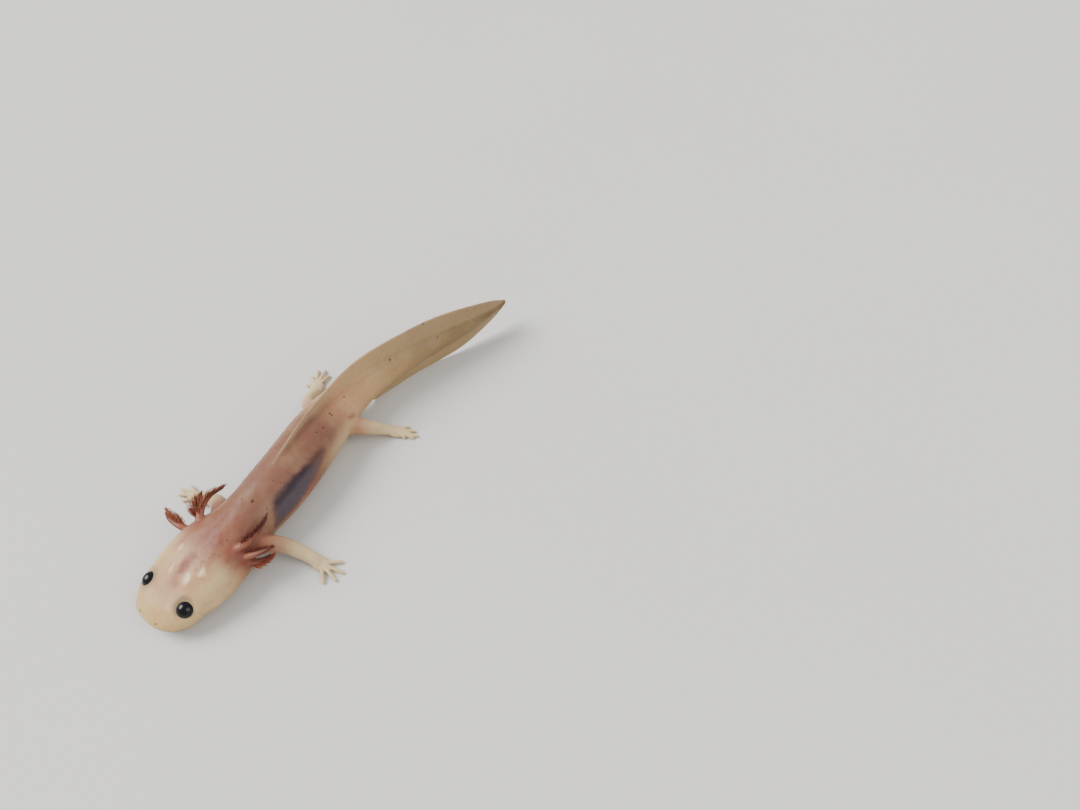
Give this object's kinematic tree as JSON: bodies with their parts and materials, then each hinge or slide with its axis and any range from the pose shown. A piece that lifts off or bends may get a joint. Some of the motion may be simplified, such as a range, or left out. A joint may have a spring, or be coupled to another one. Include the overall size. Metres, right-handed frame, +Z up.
{
  "type": "young axolotl, still life-size model",
  "caption": "Pale young axolotl lying on its belly and feet, with gill stalks, a low back fin and a finned tail.",
  "frame": {"origin": "middle of the bounding box on the floor that the animal lies on", "axes": "+Z up, -Y towards the snout, +X towards the animal's left side"},
  "size_m": [0.0432, 0.0944, 0.0129],
  "materials": {
    "head_skin": "moist pale skin, cream with a pink blush over the brain",
    "body_skin": "moist translucent pinkish skin with a dark gut patch on each flank",
    "tail_skin": "moist translucent tan skin",
    "fin_skin": "thin translucent skin",
    "leg_skin": "moist pale cream skin",
    "gill": "soft dark red filaments on pink stalks",
    "eye": "wet glossy black"
  },
  "bodies": {
    "root": {"head": "head_skin", "eye_left": "eye", "eye_right": "eye", "neck": "body_skin", "torso": "body_skin", "tail_base": "tail_skin", "tail_end": "tail_skin", "dorsal_fin": "fin_skin", "tail_fin_lower": "fin_skin", "foreleg_left": "leg_skin", "forefoot_left": "leg_skin", "foreleg_right": "leg_skin", "forefoot_right": "leg_skin", "hindleg_left": "leg_skin", "hindfoot_left": "leg_skin", "hindleg_right": "leg_skin", "hindfoot_right": "leg_skin", "gill_left_1": "gill", "gill_left_2": "gill", "gill_left_3": "gill", "gill_right_1": "gill", "gill_right_2": "gill", "gill_right_3": "gill"}
  },
  "joints": []
}
